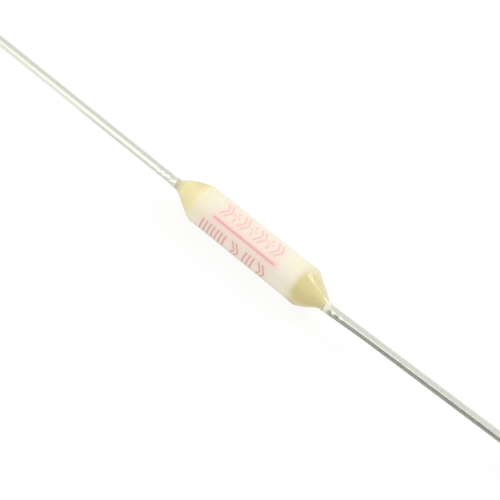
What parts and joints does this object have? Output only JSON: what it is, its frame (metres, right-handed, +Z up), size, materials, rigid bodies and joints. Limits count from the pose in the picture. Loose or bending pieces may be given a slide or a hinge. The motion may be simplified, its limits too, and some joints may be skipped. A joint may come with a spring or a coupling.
{
  "type": "thermal fuse",
  "caption": "Axial thermal fuse: white ceramic tube with cream resin cone seals and long tinned wire leads; it opens its circuit for good when it gets too hot.",
  "frame": {"origin": "middle of the ceramic tube, on its axis", "axes": "+X along the tube from the left lead to the right lead, +Z up, +Y the side to which the right lead stands askew"},
  "size_m": [0.088, 0.0028, 0.0026],
  "materials": {
    "ceramic": "matte",
    "tinned_wire": "satin",
    "sealing_resin": "satin",
    "fusible_alloy": "satin",
    "flux_resin": "gloss"
  },
  "bodies": {
    "root": {"ceramic_tube": "ceramic", "left_lead": "tinned_wire", "right_lead": "tinned_wire", "left_seal": "sealing_resin", "right_seal": "sealing_resin", "fusible_link": "fusible_alloy", "flux": "flux_resin"}
  },
  "joints": []
}
